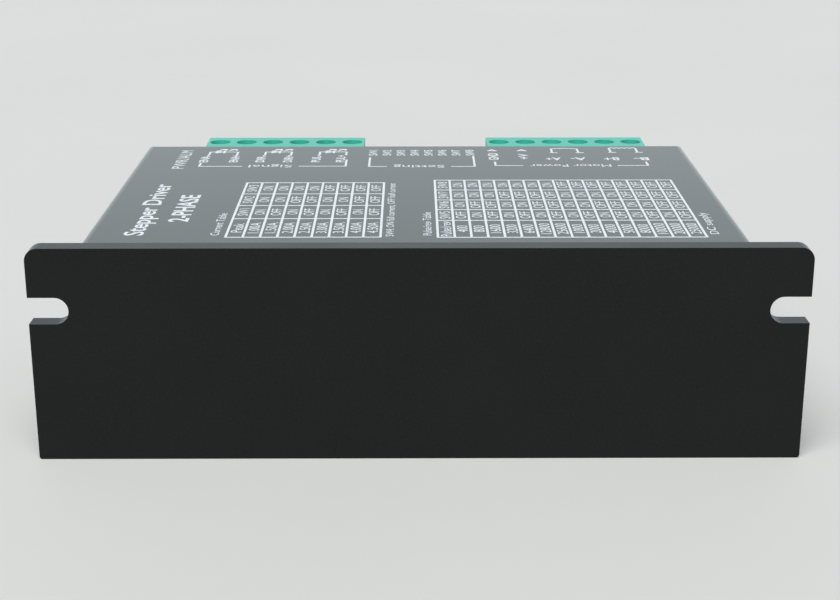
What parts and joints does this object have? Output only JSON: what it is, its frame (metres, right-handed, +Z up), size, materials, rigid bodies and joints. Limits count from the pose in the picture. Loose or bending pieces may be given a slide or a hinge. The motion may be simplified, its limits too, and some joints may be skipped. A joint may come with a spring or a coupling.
{
  "type": "stepper driver module",
  "caption": "Low box-shaped motor driver: black finned heat sink with a slotted mounting plate, folded dark cover, green pluggable terminal blocks, setting switch and status lamps.",
  "frame": {"origin": "centre of the module's bounding box in plan, on its underside", "axes": "+X along the mounting plate, +Y from the mounting plate to the terminals, +Z up from the finned underside to the label"},
  "size_m": [0.118, 0.0776, 0.034],
  "materials": {
    "anodised_aluminium": "black anodised, satin",
    "cover_paint": "fine-textured dark grey powder paint",
    "black_screw": "black zinc",
    "circuit_board": "green solder mask",
    "brass": "turned brass",
    "steel_screw": "bright zinc",
    "black_epoxy": "moulded epoxy",
    "thermal_pad": "grey silicone",
    "white_nylon": "natural nylon",
    "capacitor_sleeve": "shrunk sleeve",
    "ferrite": "pressed ferrite",
    "green_plastic": "moulded green polyamide",
    "tinned_brass": "tinned brass",
    "red_plastic": "moulded red",
    "black_plastic": "moulded black",
    "green_lens": "tinted epoxy lens",
    "red_lens": "tinted epoxy lens",
    "clamp_brass": "nickel-plated brass",
    "white_plastic": "moulded white"
  },
  "bodies": {
    "housing": {"heatsink": "anodised_aluminium", "cover": "cover_paint", "cover_screws": "black_screw", "circuit_board": "circuit_board", "board_standoffs": "brass", "board_screws": "steel_screw", "power_transistors": "black_epoxy", "insulating_pad": "thermal_pad", "transistor_bushes": "white_nylon", "transistor_screws": "steel_screw", "bulk_capacitors": "capacitor_sleeve", "power_inductor": "ferrite", "current_shunts": "black_epoxy", "controller_chip": "black_epoxy", "optocouplers": "black_epoxy", "signal_header": "green_plastic", "signal_pins": "tinned_brass", "power_header": "green_plastic", "power_pins": "tinned_brass", "dip_switch": "red_plastic", "dip_pins": "tinned_brass", "led_holder": "black_plastic", "power_led": "green_lens", "alarm_led": "red_lens"},
    "signal_plug": {"signal_plug": "green_plastic", "signal_contacts": "tinned_brass"},
    "power_plug": {"power_plug": "green_plastic", "power_contacts": "tinned_brass"},
    "signal_screw_1": {"signal_screw_1": "steel_screw"},
    "signal_cage_1": {"signal_cage_1": "clamp_brass"},
    "signal_screw_2": {"signal_screw_2": "steel_screw"},
    "signal_cage_2": {"signal_cage_2": "clamp_brass"},
    "signal_screw_3": {"signal_screw_3": "steel_screw"},
    "signal_cage_3": {"signal_cage_3": "clamp_brass"},
    "signal_screw_4": {"signal_screw_4": "steel_screw"},
    "signal_cage_4": {"signal_cage_4": "clamp_brass"},
    "signal_screw_5": {"signal_screw_5": "steel_screw"},
    "signal_cage_5": {"signal_cage_5": "clamp_brass"},
    "signal_screw_6": {"signal_screw_6": "steel_screw"},
    "signal_cage_6": {"signal_cage_6": "clamp_brass"},
    "power_screw_1": {"power_screw_1": "steel_screw"},
    "power_cage_1": {"power_cage_1": "clamp_brass"},
    "power_screw_2": {"power_screw_2": "steel_screw"},
    "power_cage_2": {"power_cage_2": "clamp_brass"},
    "power_screw_3": {"power_screw_3": "steel_screw"},
    "power_cage_3": {"power_cage_3": "clamp_brass"},
    "power_screw_4": {"power_screw_4": "steel_screw"},
    "power_cage_4": {"power_cage_4": "clamp_brass"},
    "power_screw_5": {"power_screw_5": "steel_screw"},
    "power_cage_5": {"power_cage_5": "clamp_brass"},
    "power_screw_6": {"power_screw_6": "steel_screw"},
    "power_cage_6": {"power_cage_6": "clamp_brass"},
    "dip_lever_1": {"dip_lever_1": "white_plastic"},
    "dip_lever_2": {"dip_lever_2": "white_plastic"},
    "dip_lever_3": {"dip_lever_3": "white_plastic"},
    "dip_lever_4": {"dip_lever_4": "white_plastic"},
    "dip_lever_5": {"dip_lever_5": "white_plastic"},
    "dip_lever_6": {"dip_lever_6": "white_plastic"},
    "dip_lever_7": {"dip_lever_7": "white_plastic"},
    "dip_lever_8": {"dip_lever_8": "white_plastic"}
  },
  "joints": [
    {"name": "signal_plug_pull", "type": "slide", "parent": "housing", "child": "signal_plug", "axis": [0, 1, 0], "range_m": [0, 0.012]},
    {"name": "power_plug_pull", "type": "slide", "parent": "housing", "child": "power_plug", "axis": [0, 1, 0], "range_m": [0, 0.012]},
    {"name": "signal_screw_1_turn", "type": "hinge", "parent": "signal_plug", "child": "signal_screw_1", "pos_m": [-0.03805, 0.03465, 0.0314], "axis": [0, 0, -1], "range_deg": [0, 1800]},
    {"name": "signal_cage_1_rise", "type": "slide", "parent": "signal_plug", "child": "signal_cage_1", "axis": [0, 0, 1], "range_m": [0, 0.0025]},
    {"name": "signal_screw_2_turn", "type": "hinge", "parent": "signal_plug", "child": "signal_screw_2", "pos_m": [-0.03297, 0.03465, 0.0314], "axis": [0, 0, -1], "range_deg": [0, 1800]},
    {"name": "signal_cage_2_rise", "type": "slide", "parent": "signal_plug", "child": "signal_cage_2", "axis": [0, 0, 1], "range_m": [0, 0.0025]},
    {"name": "signal_screw_3_turn", "type": "hinge", "parent": "signal_plug", "child": "signal_screw_3", "pos_m": [-0.02789, 0.03465, 0.0314], "axis": [0, 0, -1], "range_deg": [0, 1800]},
    {"name": "signal_cage_3_rise", "type": "slide", "parent": "signal_plug", "child": "signal_cage_3", "axis": [0, 0, 1], "range_m": [0, 0.0025]},
    {"name": "signal_screw_4_turn", "type": "hinge", "parent": "signal_plug", "child": "signal_screw_4", "pos_m": [-0.02281, 0.03465, 0.0314], "axis": [0, 0, -1], "range_deg": [0, 1800]},
    {"name": "signal_cage_4_rise", "type": "slide", "parent": "signal_plug", "child": "signal_cage_4", "axis": [0, 0, 1], "range_m": [0, 0.0025]},
    {"name": "signal_screw_5_turn", "type": "hinge", "parent": "signal_plug", "child": "signal_screw_5", "pos_m": [-0.01773, 0.03465, 0.0314], "axis": [0, 0, -1], "range_deg": [0, 1800]},
    {"name": "signal_cage_5_rise", "type": "slide", "parent": "signal_plug", "child": "signal_cage_5", "axis": [0, 0, 1], "range_m": [0, 0.0025]},
    {"name": "signal_screw_6_turn", "type": "hinge", "parent": "signal_plug", "child": "signal_screw_6", "pos_m": [-0.01265, 0.03465, 0.0314], "axis": [0, 0, -1], "range_deg": [0, 1800]},
    {"name": "signal_cage_6_rise", "type": "slide", "parent": "signal_plug", "child": "signal_cage_6", "axis": [0, 0, 1], "range_m": [0, 0.0025]},
    {"name": "power_screw_1_turn", "type": "hinge", "parent": "power_plug", "child": "power_screw_1", "pos_m": [0.0156, 0.03465, 0.0314], "axis": [0, 0, -1], "range_deg": [0, 1800]},
    {"name": "power_cage_1_rise", "type": "slide", "parent": "power_plug", "child": "power_cage_1", "axis": [0, 0, 1], "range_m": [0, 0.0025]},
    {"name": "power_screw_2_turn", "type": "hinge", "parent": "power_plug", "child": "power_screw_2", "pos_m": [0.02068, 0.03465, 0.0314], "axis": [0, 0, -1], "range_deg": [0, 1800]},
    {"name": "power_cage_2_rise", "type": "slide", "parent": "power_plug", "child": "power_cage_2", "axis": [0, 0, 1], "range_m": [0, 0.0025]},
    {"name": "power_screw_3_turn", "type": "hinge", "parent": "power_plug", "child": "power_screw_3", "pos_m": [0.02576, 0.03465, 0.0314], "axis": [0, 0, -1], "range_deg": [0, 1800]},
    {"name": "power_cage_3_rise", "type": "slide", "parent": "power_plug", "child": "power_cage_3", "axis": [0, 0, 1], "range_m": [0, 0.0025]},
    {"name": "power_screw_4_turn", "type": "hinge", "parent": "power_plug", "child": "power_screw_4", "pos_m": [0.03084, 0.03465, 0.0314], "axis": [0, 0, -1], "range_deg": [0, 1800]},
    {"name": "power_cage_4_rise", "type": "slide", "parent": "power_plug", "child": "power_cage_4", "axis": [0, 0, 1], "range_m": [0, 0.0025]},
    {"name": "power_screw_5_turn", "type": "hinge", "parent": "power_plug", "child": "power_screw_5", "pos_m": [0.03592, 0.03465, 0.0314], "axis": [0, 0, -1], "range_deg": [0, 1800]},
    {"name": "power_cage_5_rise", "type": "slide", "parent": "power_plug", "child": "power_cage_5", "axis": [0, 0, 1], "range_m": [0, 0.0025]},
    {"name": "power_screw_6_turn", "type": "hinge", "parent": "power_plug", "child": "power_screw_6", "pos_m": [0.041, 0.03465, 0.0314], "axis": [0, 0, -1], "range_deg": [0, 1800]},
    {"name": "power_cage_6_rise", "type": "slide", "parent": "power_plug", "child": "power_cage_6", "axis": [0, 0, 1], "range_m": [0, 0.0025]},
    {"name": "dip_lever_1_slide", "type": "slide", "parent": "housing", "child": "dip_lever_1", "axis": [0, 0, -1], "range_m": [0, 0.002]},
    {"name": "dip_lever_2_slide", "type": "slide", "parent": "housing", "child": "dip_lever_2", "axis": [0, 0, -1], "range_m": [0, 0.002]},
    {"name": "dip_lever_3_slide", "type": "slide", "parent": "housing", "child": "dip_lever_3", "axis": [0, 0, -1], "range_m": [0, 0.002]},
    {"name": "dip_lever_4_slide", "type": "slide", "parent": "housing", "child": "dip_lever_4", "axis": [0, 0, -1], "range_m": [0, 0.002]},
    {"name": "dip_lever_5_slide", "type": "slide", "parent": "housing", "child": "dip_lever_5", "axis": [0, 0, -1], "range_m": [0, 0.002]},
    {"name": "dip_lever_6_slide", "type": "slide", "parent": "housing", "child": "dip_lever_6", "axis": [0, 0, -1], "range_m": [0, 0.002]},
    {"name": "dip_lever_7_slide", "type": "slide", "parent": "housing", "child": "dip_lever_7", "axis": [0, 0, -1], "range_m": [0, 0.002]},
    {"name": "dip_lever_8_slide", "type": "slide", "parent": "housing", "child": "dip_lever_8", "axis": [0, 0, -1], "range_m": [0, 0.002]}
  ],
  "couplings": [
    {"joint": "signal_screw_1_turn", "follows": "signal_cage_1_rise", "rad_per_m": 12566},
    {"joint": "signal_screw_2_turn", "follows": "signal_cage_2_rise", "rad_per_m": 12566},
    {"joint": "signal_screw_3_turn", "follows": "signal_cage_3_rise", "rad_per_m": 12566},
    {"joint": "signal_screw_4_turn", "follows": "signal_cage_4_rise", "rad_per_m": 12566},
    {"joint": "signal_screw_5_turn", "follows": "signal_cage_5_rise", "rad_per_m": 12566},
    {"joint": "signal_screw_6_turn", "follows": "signal_cage_6_rise", "rad_per_m": 12566},
    {"joint": "power_screw_1_turn", "follows": "power_cage_1_rise", "rad_per_m": 12566},
    {"joint": "power_screw_2_turn", "follows": "power_cage_2_rise", "rad_per_m": 12566},
    {"joint": "power_screw_3_turn", "follows": "power_cage_3_rise", "rad_per_m": 12566},
    {"joint": "power_screw_4_turn", "follows": "power_cage_4_rise", "rad_per_m": 12566},
    {"joint": "power_screw_5_turn", "follows": "power_cage_5_rise", "rad_per_m": 12566},
    {"joint": "power_screw_6_turn", "follows": "power_cage_6_rise", "rad_per_m": 12566}
  ]
}
